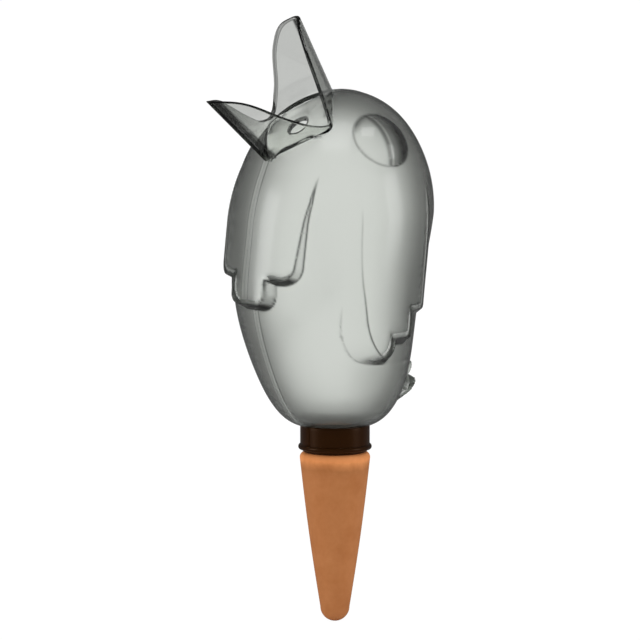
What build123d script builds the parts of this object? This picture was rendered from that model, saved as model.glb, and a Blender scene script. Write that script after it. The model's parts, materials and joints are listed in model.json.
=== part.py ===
from build123d import *
import os
from math import atan2, cos, exp, radians, sin, sqrt

# A self-watering spike: a clear bird-shaped water reservoir that screws into a
# collar with a porous clay cone. Millimetres, +Z up, the bird faces -Y and its
# left side is +X. The origin is on the cone's axis at the soil line, where the
# collar sits on the cone.

# Egg-shaped body of the reservoir
body_width = 89.6
body_depth = 91.2
crown_height = 163.6
widest_height = 108.0
foot_closing = 1.8
foot_taper = 0.25
shell_wall = 1.8
belly_forward = 5.0
belly_height = 68.0
belly_spread = 33.0
head_back = 2.6
head_spread = 20.0

# Weld bead where the two half shells meet
weld_bead_width = 2.2
weld_bead_height = 0.5

# Chest bib: a raised pad of three lobes, thickest at its lower edge
bib_top = 129.0
bib_low = 68.0
bib_side_low = 80.0
bib_corner_height = 88.0
bib_notch_height = 82.5
bib_top_width = 54.0
bib_low_width = 49.0
bib_centre_width = 25.6
bib_swell = 6.4

# Wings: a raised pad of three lobes on each side, stepping up towards the back.
# The lobes' edges are distances in front of the spike's axis.
wing_top = 124.0
wing_top_edges = (17.0, -20.0)
wing_lobe_edges = (24.0, -2.5, -13.0, -23.0)
wing_lobe_lows = (43.0, 51.5, 63.5)
wing_lobe_rises = (12.0, 5.0, 5.0)
wing_swell = 5.0
wing_draw = 0.75

# Tail: a cocked pad of three lobes at the foot of the back
tail_low = 19.0
tail_side_height = 29.0
tail_side_high = 35.0
tail_notch_height = 33.0
tail_high = 42.0
tail_width = 34.0
tail_centre_width = 13.0
tail_low_width = 16.0
tail_swell = 11.0

# Eyes: a low round dome on each side of the head
eye_height = 143.0
eye_azimuth = 84.0
eye_dome_radius = 17.6
eye_stand = 4.5

# Beak: two folded jaws round a filling hole in the mouth's floor. The mouth's
# plane lies across the front of the head, and the jaws rise from it.
mouth_pitch = 51.7
mouth_sink = 5.0
mouth_forward = 2.7
mouth_length = 48.2
beak_wall = 2.0
corner_round = 5.0
corner_up = 1.7
corner_rise = 1.6
lower_jaw_length = 43.5
lower_jaw_flare = 8.8
lower_rim_bend = ((0.66, 0.73), (0.38, 0.33))
upper_jaw_length = 38.9
upper_jaw_flare = 6.1
upper_rim_bend = ((0.26, 0.27), (0.55, 0.76), (0.76, 0.97))
fill_hole_diameter = 9.5

# Screw neck, seal, collar, bond and clay cone
neck_radius = 12.9
neck_bore_radius = 10.2
thread_clearance = 0.3
collar_height = 12.4
collar_radius = 15.7
collar_floor = 2.0
collar_foot_gap = 0.4
bead_radius = 16.6
bead_height = 2.3
lip_radius = 14.5
lip_height = 1.2
seal_thickness = 1.5
spigot_radius = 9.9
spigot_wall = 1.9
spigot_length = 9.0
bond_gap = 0.8
bond_length = 8.0
cone_radius = 15.9
cone_length = 77.4
cone_tip_radius = 6.6
cone_shoulder = 2.6
cone_wall = 4.8

# Sizes that follow from them
foot_height = collar_height + collar_foot_gap
closing_height = foot_height - foot_closing
seal_top = collar_floor + seal_thickness
collar_bore_radius = neck_radius + thread_clearance
cone_bore_radius = spigot_radius + bond_gap


def bell(z, centre, spread):
    """A smooth bump of height one."""
    return exp(-(((z - centre) / spread) ** 2))


def body_centre(z):
    """Y of the body's section: forward at the belly and a little back at the head."""
    back = head_back * bell(z, crown_height, head_spread)
    return back - belly_forward * bell(z, belly_height, belly_spread)


def body_half(z, grow=0.0):
    """Half width and half depth of the body's section, grown evenly by an amount."""
    if z >= widest_height:
        rise = (z - widest_height) / (crown_height + grow - widest_height)
        share = sqrt(1 - rise**2)
    else:
        drop = (widest_height - z) / (widest_height - closing_height + grow)
        share = (1 - foot_taper * drop**1.2) * (1 - drop**4) ** 0.25
    return (body_width / 2 + grow) * share, (body_depth / 2 + grow) * share


def body_ring(z, grow, swell=0.0):
    """One level section of the body, with a pad's swell added to its radii."""
    half_width, half_depth = body_half(z, grow)
    with BuildSketch(Plane.XY.offset(z)) as ring:
        with Locations((0, body_centre(z))):
            Ellipse(half_width + swell, half_depth + swell)
    return ring.sketch


def egg(grow):
    """The plain body: rings closed at the crown, spaced as points on a circle are."""
    foot = foot_height - grow
    crown = crown_height + grow
    lower = [widest_height - (widest_height - foot) * sin(radians(a)) for a in range(90, 0, -10)]
    upper = [widest_height + (crown - widest_height) * sin(radians(a)) for a in range(0, 90, 15)]
    rings = [body_ring(z, grow) for z in lower + upper]
    with BuildPart() as body:
        loft(sections=[*rings, Vertex(0, body_centre(crown), crown)])
    return body.part


def swollen_band(full_at, none_at, swell, grow):
    """A slice of the body that thickens from one height to another."""
    margin = 2 * shell_wall
    low = min(full_at, none_at) - margin
    high = max(full_at, none_at) + margin
    count = 9
    heights = [low + (high - low) * i / (count - 1) for i in range(count)]
    rings = [body_ring(z, grow, swell * (none_at - z) / (none_at - full_at)) for z in heights]
    with BuildPart() as band:
        loft(sections=rings)
    return band.part


def bib(grow):
    """The chest pad, whose lower edge has a long lobe between two short ones."""
    band = swollen_band(bib_low, bib_top, bib_swell, grow)
    top = bib_top + shell_wall
    notch = (bib_centre_width / 2, bib_notch_height)
    side_low = ((bib_low_width + bib_centre_width) / 4, bib_side_low)
    with BuildPart() as pad:
        with BuildSketch(Plane.XZ):
            with BuildLine():
                edge = Polyline((0, top), (bib_top_width / 2, top), (bib_low_width / 2, bib_corner_height))
                ThreePointArc(edge @ 1, side_low, notch)
                mirror(about=Plane.YZ)
                ThreePointArc(notch, (0, bib_low), (-notch[0], notch[1]))
            make_face()
            offset(amount=grow)
        extrude(amount=body_depth)
        add(band, mode=Mode.INTERSECT)
    return pad.part


def wing_plane():
    """The plane of the wing's foot, leaning out with the body's flank."""
    low = wing_lobe_lows[0]
    foot_x, top_x = body_half(low)[0], body_half(wing_top)[0]
    lean = atan2(top_x - foot_x, wing_top - low)
    return Plane((foot_x, 0, low), x_dir=(0, 1, 0), z_dir=(cos(lean), 0, -sin(lean)))


def wing_outline(plane, grow, draw):
    """The wing's lobed outline, drawn in towards the middle of its upper edge."""
    edges = [wing_lobe_edges[0] + grow] + [edge - grow for edge in wing_lobe_edges[1:]]
    top = wing_top + shell_wall

    def spot(forward, height):
        return (-forward * draw, (top - wing_lobe_lows[0] - (top - height) * draw) / plane.y_dir.Z)

    with BuildSketch(plane) as outline:
        with BuildLine():
            last = spot(wing_top_edges[0], top)
            for front, back, low, rise in zip(edges, edges[1:], wing_lobe_lows, wing_lobe_rises):
                start = spot(front, low - grow + rise)
                Line(last, start)
                last = spot(back, low - grow + rise)
                ThreePointArc(start, spot((front + back) / 2, low - grow), last)
            Polyline(last, spot(wing_top_edges[1], top), spot(wing_top_edges[0], top))
        make_face()
    return outline.sketch


def wing(grow):
    """The left wing pad, with bevelled walls round its three lobes."""
    plane = wing_plane()
    band = swollen_band(wing_lobe_lows[0], wing_top, wing_swell, grow)
    foot = wing_outline(plane, grow, 1.0)
    face = wing_outline(plane.offset(2 * wing_swell), grow, wing_draw)
    with BuildPart() as pad:
        extrude(foot, amount=-body_width / 4)
        loft(sections=[foot, face], ruled=True)
        add(band, mode=Mode.INTERSECT)
    return pad.part


def tail(grow):
    """The tail pad, whose upper edge has a long lobe between two short ones."""
    band = swollen_band(tail_high, tail_low, tail_swell, grow)
    notch = (tail_centre_width / 2, tail_notch_height)
    side_high = ((tail_width + tail_centre_width) / 4, tail_side_high)
    side = (tail_width / 2, tail_side_height)
    with BuildPart() as pad:
        with BuildSketch(Plane.XZ):
            with BuildLine():
                Polyline((0, tail_low), (tail_low_width / 2, tail_low), side)
                ThreePointArc(side, side_high, notch)
                mirror(about=Plane.YZ)
                ThreePointArc(notch, (0, tail_high), (-notch[0], notch[1]))
            make_face()
            offset(amount=grow)
        extrude(amount=-body_depth)
        add(band, mode=Mode.INTERSECT)
    return pad.part


def eye(grow):
    """The left eye's ball, set in the head so that a low dome stands out."""
    half_width, half_depth = body_half(eye_height)
    turn = radians(eye_azimuth)
    rise = eye_height - widest_height
    slope = atan2(rise / (crown_height - widest_height) ** 2, half_width / (body_width / 2) ** 2)
    out = Vector(cos(slope) * sin(turn), -cos(slope) * cos(turn), sin(slope))
    place = Vector(half_width * sin(turn), body_centre(eye_height) - half_depth * cos(turn), eye_height)
    with BuildPart() as ball:
        with Locations(place - out * (eye_dome_radius - eye_stand)):
            Sphere(eye_dome_radius + grow)
    return ball.part


def left_form(grow):
    """The bird's closed form with its bib, tail, left wing and left eye."""
    with BuildPart() as form:
        add(egg(grow))
        for feature in (bib, wing, tail, eye):
            add(feature(grow))
    return form.part


def mouth_plane():
    """The plane of the mouth's floor: X across, Y up to the upper jaw, Z out of the mouth."""
    out = Vector(0, -cos(radians(mouth_pitch)), sin(radians(mouth_pitch)))
    along = Vector(0, -out.Z, out.Y)
    half_depth = body_depth / 2
    half_height = crown_height - widest_height
    reach = sqrt((half_depth * out.Y) ** 2 + (half_height * out.Z) ** 2)
    head_z = widest_height + half_height**2 * out.Z / reach
    head = Vector(0, body_centre(head_z) + half_depth**2 * out.Y / reach, head_z)
    return Plane(head - out * mouth_sink + along * mouth_forward, x_dir=(1, 0, 0), z_dir=out)


def beak_section(height, inset):
    """The beak's diamond section, sharp at the jaws' spines and round at the mouth's corners."""
    upper = mouth_length / 2 + upper_jaw_flare * height / upper_jaw_length
    lower = -mouth_length / 2 - lower_jaw_flare * height / lower_jaw_length
    middle = (upper + lower) / 2
    half = (upper - lower) / 2
    with BuildSketch(mouth_plane().offset(height)) as section:
        with BuildLine():
            Polyline((0, upper), (-half, middle), (0, lower), (half, middle), close=True)
        make_face()
        corners = section.vertices().sort_by(Axis.X)
        fillet([corners[0], corners[-1]], corner_round)
        offset(amount=-inset)
    return section.sketch


def beak_tube(low, high, inset):
    """A tapering block of the beak's section between two heights over the mouth's plane."""
    with BuildPart() as tube:
        loft(sections=[beak_section(low, inset), beak_section(high, inset)], ruled=True)
    return tube.part


def beak():
    """Both jaws: a folded tube cut back to a rim that dips at the mouth's corners."""
    mouth = mouth_plane()
    side = Plane(mouth.origin, x_dir=mouth.y_dir, z_dir=(1, 0, 0))
    height = 1.2 * max(lower_jaw_length, upper_jaw_length)
    lower_tip = (-mouth_length / 2 - lower_jaw_flare, lower_jaw_length)
    upper_tip = (mouth_length / 2 + upper_jaw_flare, upper_jaw_length)
    corner = (corner_up, corner_rise)

    def rim(tip, shares):
        along, up = shares
        return (corner[0] + (tip[0] - corner[0]) * along, corner[1] + (tip[1] - corner[1]) * up)

    with BuildPart() as jaws:
        add(beak_tube(-mouth_sink, height, 0))
        add(beak_tube(0, 1.1 * height, beak_wall), mode=Mode.SUBTRACT)
        with BuildSketch(side):
            with BuildLine():
                lower_end = (lower_tip[0] - mouth_sink, lower_tip[1])
                upper_end = (upper_tip[0] + mouth_sink, upper_tip[1])
                lower_rim = Spline(
                    lower_end,
                    lower_tip,
                    *[rim(lower_tip, bend) for bend in lower_rim_bend],
                    corner,
                    tangents=[(1, 0), (1, 0)],
                )
                upper_rim = Spline(
                    corner,
                    *[rim(upper_tip, bend) for bend in upper_rim_bend],
                    upper_tip,
                    upper_end,
                    tangents=[(1, 0), (1, 0)],
                )
                Polyline(
                    upper_rim @ 1,
                    (upper_end[0], -2 * mouth_sink),
                    (lower_end[0], -2 * mouth_sink),
                    lower_rim @ 0,
                )
            make_face()
        extrude(amount=body_width / 2, both=True, mode=Mode.INTERSECT)
    return jaws.part


# Left half shell: the form with its weld bead and jaws, hollowed, with the mouth's
# floor left under the beak, then pierced, given its half of the neck and cut in half
with BuildPart() as weld_bead:
    with Locations((0, 0, foot_height)):
        Box(
            weld_bead_width,
            2 * body_depth,
            crown_height,
            align=(Align.CENTER, Align.CENTER, Align.MIN),
        )
    add(left_form(weld_bead_height), mode=Mode.INTERSECT)

with BuildPart() as cavity:
    add(left_form(-shell_wall))
    add(beak_tube(-shell_wall, 2 * mouth_sink, 0), mode=Mode.SUBTRACT)

with BuildPart() as left_shell:
    add(left_form(0))
    add(weld_bead.part)
    add(beak_tube(0, 2 * mouth_sink, beak_wall), mode=Mode.SUBTRACT)
    add(beak())
    with Locations((0, 0, seal_top)):
        Cylinder(
            neck_radius,
            foot_height + shell_wall - seal_top,
            align=(Align.CENTER, Align.CENTER, Align.MIN),
        )
    add(cavity.part, mode=Mode.SUBTRACT)
    Cylinder(neck_bore_radius, 2 * (foot_height + 2 * shell_wall), mode=Mode.SUBTRACT)
    with Locations(mouth_plane()):
        Cylinder(fill_hole_diameter / 2, 4 * shell_wall, mode=Mode.SUBTRACT)
    split(bisect_by=Plane.YZ)
left_shell.part.label = "left_shell"

# Right half shell: the mirror image of the left one
with BuildPart() as right_shell:
    add(mirror(left_shell.part, about=Plane.YZ, mode=Mode.PRIVATE))
right_shell.part.label = "right_shell"

# Neck seal: a flat ring between the neck's end and the collar's floor
with BuildPart() as neck_seal:
    with BuildSketch(Plane.XY.offset(collar_floor)):
        Circle(neck_radius)
        Circle(neck_bore_radius, mode=Mode.SUBTRACT)
    extrude(amount=seal_thickness)
neck_seal.part.label = "neck_seal"

# Thread collar: a turned cup with a round bead over its lip and a spigot below
with BuildPart() as thread_collar:
    bore = spigot_radius - spigot_wall
    with BuildSketch(Plane.XZ):
        with BuildLine():
            Polyline(
                (collar_radius, lip_height + bead_height),
                (collar_radius, collar_height),
                (collar_bore_radius, collar_height),
                (collar_bore_radius, collar_floor),
                (bore, collar_floor),
                (bore, -spigot_length),
                (spigot_radius, -spigot_length),
                (spigot_radius, 0),
                (lip_radius, 0),
                (lip_radius, lip_height),
                (collar_radius, lip_height),
            )
            ThreePointArc(
                (collar_radius, lip_height),
                (bead_radius, lip_height + bead_height / 2),
                (collar_radius, lip_height + bead_height),
            )
        make_face()
    revolve(axis=Axis.Z)
    rim_edges = thread_collar.edges().group_by(Axis.Z)[-1]
    fillet(rim_edges, (collar_radius - collar_bore_radius) / 4)
thread_collar.part.label = "thread_collar"

# Bond ring: the adhesive between the collar's spigot and the cone's mouth
with BuildPart() as bond_ring:
    with BuildSketch():
        Circle(cone_bore_radius)
        Circle(spigot_radius, mode=Mode.SUBTRACT)
    extrude(amount=-bond_length)
bond_ring.part.label = "bond_ring"

# Clay cone: a slip-cast cone with a rounded shoulder and tip, hollow to near its tip
with BuildPart() as clay_cone:
    ball_z = cone_tip_radius - cone_length
    run = -cone_shoulder - ball_z
    lean = atan2(cone_radius - cone_tip_radius, run)
    touch = (cone_tip_radius * cos(lean), ball_z - cone_tip_radius * sin(lean))
    inner_tip = cone_tip_radius / 2
    with BuildSketch(Plane.XZ):
        with BuildLine():
            Line((0, 0), (cone_radius - cone_shoulder, 0))
            shoulder = ThreePointArc(
                (cone_radius - cone_shoulder, 0),
                (cone_radius - cone_shoulder * (1 - sqrt(0.5)), -cone_shoulder * (1 - sqrt(0.5))),
                (cone_radius, -cone_shoulder),
            )
            Line(shoulder @ 1, touch)
            ThreePointArc(
                touch,
                (cone_tip_radius * sin(radians(45)), ball_z - cone_tip_radius * cos(radians(45))),
                (0, -cone_length),
            )
            Line((0, -cone_length), (0, 0))
        make_face()
    revolve(axis=Axis.Z)
    with BuildSketch(Plane.XZ):
        with BuildLine():
            well_foot = -cone_length + cone_tip_radius + cone_wall
            step = -spigot_length - bond_gap
            step_radius = cone_radius - cone_wall + step * (cone_radius - cone_tip_radius) / run
            Polyline(
                (0, 0),
                (cone_bore_radius, 0),
                (cone_bore_radius, step),
                (min(step_radius, cone_bore_radius), step),
                (inner_tip, well_foot),
                (0, well_foot),
                close=True,
            )
        make_face()
    revolve(axis=Axis.Z, mode=Mode.SUBTRACT)
clay_cone.part.label = "clay_cone"

os.makedirs("parts", exist_ok=True)
for piece in (left_shell, right_shell, neck_seal, thread_collar, bond_ring, clay_cone):
    export_step(piece.part, f"parts/{piece.part.label}.step")
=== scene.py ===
import json
from math import cos, pi, radians, sin, sqrt

import bpy
import numpy as np
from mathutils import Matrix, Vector


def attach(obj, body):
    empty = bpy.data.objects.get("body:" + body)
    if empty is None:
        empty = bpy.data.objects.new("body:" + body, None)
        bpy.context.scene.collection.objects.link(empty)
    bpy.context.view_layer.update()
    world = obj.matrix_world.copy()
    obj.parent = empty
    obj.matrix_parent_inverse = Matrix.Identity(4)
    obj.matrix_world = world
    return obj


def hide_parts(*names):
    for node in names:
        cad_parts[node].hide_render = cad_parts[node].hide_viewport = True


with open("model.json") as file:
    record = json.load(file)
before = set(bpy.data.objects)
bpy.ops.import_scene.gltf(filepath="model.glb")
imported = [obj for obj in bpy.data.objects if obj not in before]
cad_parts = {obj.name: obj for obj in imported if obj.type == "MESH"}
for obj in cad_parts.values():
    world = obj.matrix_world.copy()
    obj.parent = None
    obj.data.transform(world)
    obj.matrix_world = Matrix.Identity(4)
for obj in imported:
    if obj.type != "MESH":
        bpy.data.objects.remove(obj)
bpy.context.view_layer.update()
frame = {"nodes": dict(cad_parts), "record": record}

# Clay cone: slip-cast, unglazed terracotta with a rounded shoulder and tip. It is
# hollow, and water soaks out through its wall into the soil.
mm = 0.001
cone_radius = 15.9 * mm
cone_length = 77.4 * mm
cone_tip_radius = 6.6 * mm
cone_shoulder = 2.6 * mm
cone_bulge = 0.55 * mm
cone_bore_radius = 10.7 * mm
cone_bore_depth = 9.8 * mm
cone_well_radius = 9.7 * mm
cone_well_tip_radius = 3.3 * mm
cone_well_depth = 66.0 * mm
cone_side_steps = 48
cone_tip_end = -89.9
pole_radius = 0.005 * mm


def arc(centre, radius, start, end, steps):
    """Points of a round corner in a turned profile, between two angles in degrees."""
    angles = [radians(start + (end - start) * i / steps) for i in range(steps + 1)]
    return [(centre[0] + radius * cos(a), centre[1] + radius * sin(a)) for a in angles]


def turned(name, profile, segments):
    """A round piece, drawn up from a circle ring by ring along a profile."""
    bpy.ops.object.select_all(action="DESELECT")
    radius, height = profile[0]
    bpy.ops.mesh.primitive_circle_add(vertices=segments, radius=radius, location=(0, 0, height))
    piece = bpy.context.object
    piece.name = name
    bpy.ops.object.transform_apply(location=True, rotation=True, scale=True)
    bpy.ops.object.mode_set(mode="EDIT")
    bpy.ops.mesh.select_all(action="SELECT")
    for next_radius, next_height in profile[1:]:
        bpy.ops.mesh.extrude_region_move(TRANSFORM_OT_translate={"value": (0, 0, next_height - height)})
        ratio = next_radius / radius
        bpy.ops.transform.resize(value=(ratio, ratio, 1), center_override=(0, 0, next_height))
        radius, height = next_radius, next_height
    bpy.ops.mesh.select_all(action="SELECT")
    bpy.ops.mesh.remove_doubles(threshold=0.02 * mm)
    bpy.ops.mesh.normals_make_consistent(inside=False)
    bpy.ops.object.mode_set(mode="OBJECT")
    return piece


def cone_side(share):
    """A point on the cone's side, between its shoulder and its tip's ball."""
    low = cone_tip_radius - cone_length
    height = -cone_shoulder + (low + cone_shoulder) * share
    straight = cone_radius + (cone_tip_radius - cone_radius) * share
    return straight + cone_bulge * sin(pi * share), height


cone_profile = [
    (pole_radius, -cone_well_depth),
    (cone_well_tip_radius, -cone_well_depth),
    (cone_well_radius, -cone_bore_depth),
    (cone_bore_radius, -cone_bore_depth),
    (cone_bore_radius, 0),
]
cone_profile += arc((cone_radius - cone_shoulder, -cone_shoulder), cone_shoulder, 90, 0, 10)
cone_profile += [cone_side(i / cone_side_steps) for i in range(1, cone_side_steps)]
cone_profile += arc((0, cone_tip_radius - cone_length), cone_tip_radius, 0, cone_tip_end, 16)
clay_cone = turned("clay_cone_cast", cone_profile, segments=128)
bpy.ops.object.shade_smooth_by_angle(angle=radians(40))


def add_node(owner, kind, **values):
    """A new node in a material or world, with its settings and unlinked inputs filled in."""
    made = owner.node_tree.nodes.new(kind)
    for name, value in values.items():
        if hasattr(made, name):
            setattr(made, name, value)
        else:
            made.inputs[name.replace("_", " ")].default_value = value
    return made


def link(owner, source, output, target, socket):
    """Joins one node's output to another node's input."""
    owner.node_tree.links.new(source.outputs[output], target.inputs[socket])


def fill_ramp(node, stops):
    """Gives a colour ramp its places and their colours, in rising order."""
    ramp = node.color_ramp.elements
    for i, (place, colour) in enumerate(stops):
        stop = ramp[i] if i < 2 else ramp.new(place)
        stop.position = place
        stop.color = (*colour, 1)


def new_material(name):
    """A material with nothing in its node tree but its surface shader and output."""
    material = bpy.data.materials.new(name)
    material.use_nodes = True
    return material, material.node_tree.nodes["Principled BSDF"]


clay_dark, clay_light = (0.475, 0.17, 0.052), (0.57, 0.225, 0.08)
# The clay's tone by height: towards the shoulder it is painted lighter, a painted highlight for light on the
# shoulder under the collar's bead, and the band wavers with the clay's clouds
clay_painted_light_bands = ((0.0, 1.0), (0.3, 1.03), (0.88, 1.02), (0.93, 0.97), (0.96, 1.25), (0.985, 1.7))
painted_light_waver = 0.05
clay, clay_surface = new_material("fired_clay")
clay_surface.inputs["Roughness"].default_value = 0.88
clay_surface.inputs["Specular IOR Level"].default_value = 0.25
clay_place = add_node(clay, "ShaderNodeTexCoord")
clay_clouds = add_node(clay, "ShaderNodeTexNoise", Scale=90.0, Detail=4.0, Roughness=0.6)
clay_tone = add_node(clay, "ShaderNodeValToRGB")
fill_ramp(clay_tone, ((0.3, clay_dark), (0.72, clay_light)))
clay_split = add_node(clay, "ShaderNodeSeparateXYZ")
clay_height = add_node(clay, "ShaderNodeMapRange", From_Min=-cone_length, From_Max=0.0)
# Painted light on the shoulder, by height
clay_painted_light_band = add_node(clay, "ShaderNodeValToRGB")
fill_ramp(clay_painted_light_band, [(place, (tone, tone, tone)) for place, tone in clay_painted_light_bands])
clay_spread = add_node(clay, "ShaderNodeMath", operation="MULTIPLY_ADD")
clay_spread.inputs[1].default_value = painted_light_waver
clay_painted_light_tone = add_node(clay, "ShaderNodeVectorMath", operation="MULTIPLY")
clay_grain = add_node(clay, "ShaderNodeTexNoise", Scale=2600.0, Detail=3.0)
clay_bump = add_node(clay, "ShaderNodeBump", Strength=0.25, Distance=0.0002)
link(clay, clay_place, "Object", clay_clouds, "Vector")
link(clay, clay_clouds, "Fac", clay_tone, "Fac")
link(clay, clay_place, "Object", clay_split, "Vector")
link(clay, clay_split, "Z", clay_height, "Value")
link(clay, clay_clouds, "Fac", clay_spread, 0)
link(clay, clay_height, "Result", clay_spread, 2)
link(clay, clay_spread, 0, clay_painted_light_band, "Fac")
link(clay, clay_tone, "Color", clay_painted_light_tone, 0)
link(clay, clay_painted_light_band, "Color", clay_painted_light_tone, 1)
link(clay, clay_painted_light_tone, 0, clay_surface, "Base Color")
link(clay, clay_place, "Object", clay_grain, "Vector")
link(clay, clay_grain, "Fac", clay_bump, "Height")
link(clay, clay_bump, "Normal", clay_surface, "Normal")
clay_cone.data.materials.append(clay)
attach(clay_cone, "spike")
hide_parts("clay_cone")

# Bond ring: the cured adhesive between the cone's bore and the collar's spigot.
# It is hidden in the joint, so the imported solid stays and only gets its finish.
adhesive, adhesive_surface = new_material("cured_adhesive")
adhesive_surface.inputs["Base Color"].default_value = (0.5, 0.44, 0.32, 1)
adhesive_surface.inputs["Roughness"].default_value = 0.6
frame["nodes"]["bond_ring"].data.materials.clear()
frame["nodes"]["bond_ring"].data.materials.append(adhesive)

# Thread collar: a dark brown moulded screw cap with a round bead near its foot and
# a fine parting rib at its front and back. Its spigot is bonded into the cone.
collar_radius = 15.7 * mm
collar_height = 12.4 * mm
collar_bore_radius = 13.2 * mm
collar_floor = 2.0 * mm
collar_edge = 0.6 * mm
collar_shoulder = collar_height - collar_edge
collar_side_shares = (0.34, 0.5, 0.7, 0.85)
bead_stand = 0.9 * mm
bead_height = 2.3 * mm
bead_steps = 12
lip_radius = 14.5 * mm
lip_height = 1.2 * mm
lip_bevel = 0.4 * mm
spigot_radius = 9.9 * mm
spigot_bore_radius = 8.0 * mm
spigot_length = 9.0 * mm
rib_half_width = 0.75 * mm
rib_stand = 0.45 * mm
fine_step = 0.1 * mm


def bead_point(share):
    """A point on the collar's bead, from its lower end to its upper one."""
    middle = lip_height + bead_height / 2
    return collar_radius + bead_stand * sin(pi * share), middle - bead_height / 2 * cos(pi * share)


collar_profile = [(spigot_bore_radius, -spigot_length), (spigot_radius, -spigot_length), (spigot_radius, 0)]
collar_profile += [(lip_radius - lip_bevel, 0), (lip_radius, lip_bevel)]
collar_profile += [(lip_radius, lip_height - fine_step)]
collar_profile += [bead_point(i / bead_steps) for i in range(bead_steps + 1)]
collar_profile += [(collar_radius, collar_height * share) for share in collar_side_shares]
collar_profile += arc((collar_radius - collar_edge, collar_shoulder), collar_edge, 0, 90, 6)
collar_profile += arc((collar_bore_radius + collar_edge, collar_shoulder), collar_edge, 90, 180, 6)
collar_profile += [(collar_bore_radius, collar_floor), (spigot_bore_radius, collar_floor)]
collar_profile += [collar_profile[0]]
thread_collar = turned("thread_collar_moulded", collar_profile, segments=288)
for vertex in thread_collar.data.vertices:
    x, y, z = vertex.co
    radius = sqrt(x * x + y * y)
    on_wall = radius > collar_radius - fine_step and lip_height + bead_height < z < collar_shoulder
    if on_wall and abs(x) < rib_half_width:
        vertex.co.xy = vertex.co.xy * (1 + rib_stand / radius)
bpy.ops.object.shade_smooth_by_angle(angle=radians(30))

brown, brown_surface = new_material("brown_plastic")
brown_surface.inputs["Base Color"].default_value = (0.026, 0.008, 0.0012, 1)
brown_surface.inputs["Roughness"].default_value = 0.28
brown_surface.inputs["Specular IOR Level"].default_value = 0.25
brown_surface.inputs["Specular Tint"].default_value = (1.0, 0.62, 0.4, 1)
thread_collar.data.materials.append(brown)
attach(thread_collar, "spike")
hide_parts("thread_collar")

# Neck seal: a flat black rubber ring under the end of the bird's neck. It is hidden
# in the collar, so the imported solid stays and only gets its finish.
rubber, rubber_surface = new_material("seal_rubber")
rubber_surface.inputs["Base Color"].default_value = (0.015, 0.015, 0.015, 1)
rubber_surface.inputs["Roughness"].default_value = 0.7
frame["nodes"]["neck_seal"].data.materials.clear()
frame["nodes"]["neck_seal"].data.materials.append(rubber)

# Bird shells: two clear smoke-grey halves, moulded with their half of the beak and
# of the screw neck and welded together along the middle of the bird. The whole bird
# is shaped first, from a sphere, and then cut along the weld.
body_half_width = 44.8 * mm
body_half_depth = 45.6 * mm
crown_height = 163.6 * mm
widest_height = 108.0 * mm
foot_height = 12.8 * mm
closing_height = 11.0 * mm
foot_taper = 0.25
shell_wall = 1.8 * mm
belly_forward, belly_height, belly_spread = 5.0 * mm, 68.0 * mm, 33.0 * mm
head_back, head_spread = 2.6 * mm, 20.0 * mm


def fade(value, start, end):
    """0 up to a start, 1 from an end on and an even ramp between them, either way round."""
    return np.clip((value - start) / (end - start), 0, 1)


def bell(distance, half_width):
    """1 at no distance, falling away smoothly on both sides."""
    return np.exp(-((distance / half_width) ** 2))


def body_centre(z):
    """Where the middle of the body lies, from front to back, at a height."""
    back = head_back * bell(z - crown_height, head_spread)
    return back - belly_forward * bell(z - belly_height, belly_spread)


def body_share(z, grow):
    """The body's girth at a height, as a share of its widest girth."""
    rise = fade(z, widest_height, crown_height + grow)
    drop = fade(z, widest_height, closing_height - grow)
    lower = (1 - foot_taper * drop**1.2) * (1 - drop**4) ** 0.25
    return np.where(z >= widest_height, np.sqrt(1 - rise**2), lower)


def body_point(turn, z, grow):
    """Points on the plain egg-shaped body, and the directions that face out of it."""
    step = 0.02 * mm
    low = np.maximum(z - step, foot_height - grow)
    high = np.minimum(z + step, crown_height + grow - step / 4)
    wide, deep = body_half_width + grow, body_half_depth + grow
    share = body_share(z, grow)
    share_slope = (body_share(high, grow) - body_share(low, grow)) / (high - low)
    centre_slope = (body_centre(high) - body_centre(low)) / (high - low)
    x, y = wide * share * np.sin(turn), body_centre(z) - deep * share * np.cos(turn)
    out_x = deep * share * np.sin(turn)
    out_y = -wide * share * np.cos(turn)
    lean = centre_slope * np.cos(turn) * wide * share
    out_z = lean - share_slope * share * wide * deep
    out = np.stack([out_x, out_y, out_z], axis=-1)
    length = np.linalg.norm(out, axis=-1, keepdims=True)
    place = np.stack([x, y, z], axis=-1)
    return place, np.where(length > 0, out / np.maximum(length, 1e-12), (0, 0, 1))


# The pads that stand out of the body: the chest's bib, the wings and the tail
bib_half_width, bib_flare = 24.6 * mm, 2.6 * mm
bib_flare_start, bib_flare_end = 85.0 * mm, 117.0 * mm
bib_side_foot, bib_side_corner = 79.8 * mm, 8.0 * mm
bib_lobe_half_width, bib_lobe_foot, bib_lobe_corner = 12.8 * mm, 68.0 * mm, 7.5 * mm
bib_stand, bib_root, bib_slope = 6.4 * mm, 129.0 * mm, 1.8
wing_lobe_backs = (2.5 * mm, 13.0 * mm, 23.0 * mm)
wing_lobe_feet = (43.0 * mm, 51.5 * mm, 63.5 * mm)
wing_lobe_corners = (10.0 * mm, 6.0 * mm, 6.0 * mm)
wing_front_corner = 3.0 * mm
wing_stand, wing_root, wing_slope = 5.0 * mm, 124.0 * mm, 0.95
wing_front_bevel, wing_back_bevel = 0.38, 1.5
wing_reach, wing_bulge, wing_bulge_height, wing_bulge_power = 6.6 * mm, 19.2 * mm, 67.0 * mm, 2.2
wing_bow, wing_bow_start, wing_bow_power = 8.0 * mm, 80.0 * mm, 1.5
tail_half_width, tail_flare, tail_flare_end = 8.0 * mm, 9.0 * mm, 29.0 * mm
tail_side_top, tail_side_corner = 35.0 * mm, 7.0 * mm
tail_lobe_half_width, tail_lobe_top, tail_lobe_corner = 6.5 * mm, 42.0 * mm, 6.0 * mm
tail_stand, tail_root, tail_slope = 11.0 * mm, 19.0 * mm, 5.0
other_side = -10.0 * mm
far_outside = -1.0


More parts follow.
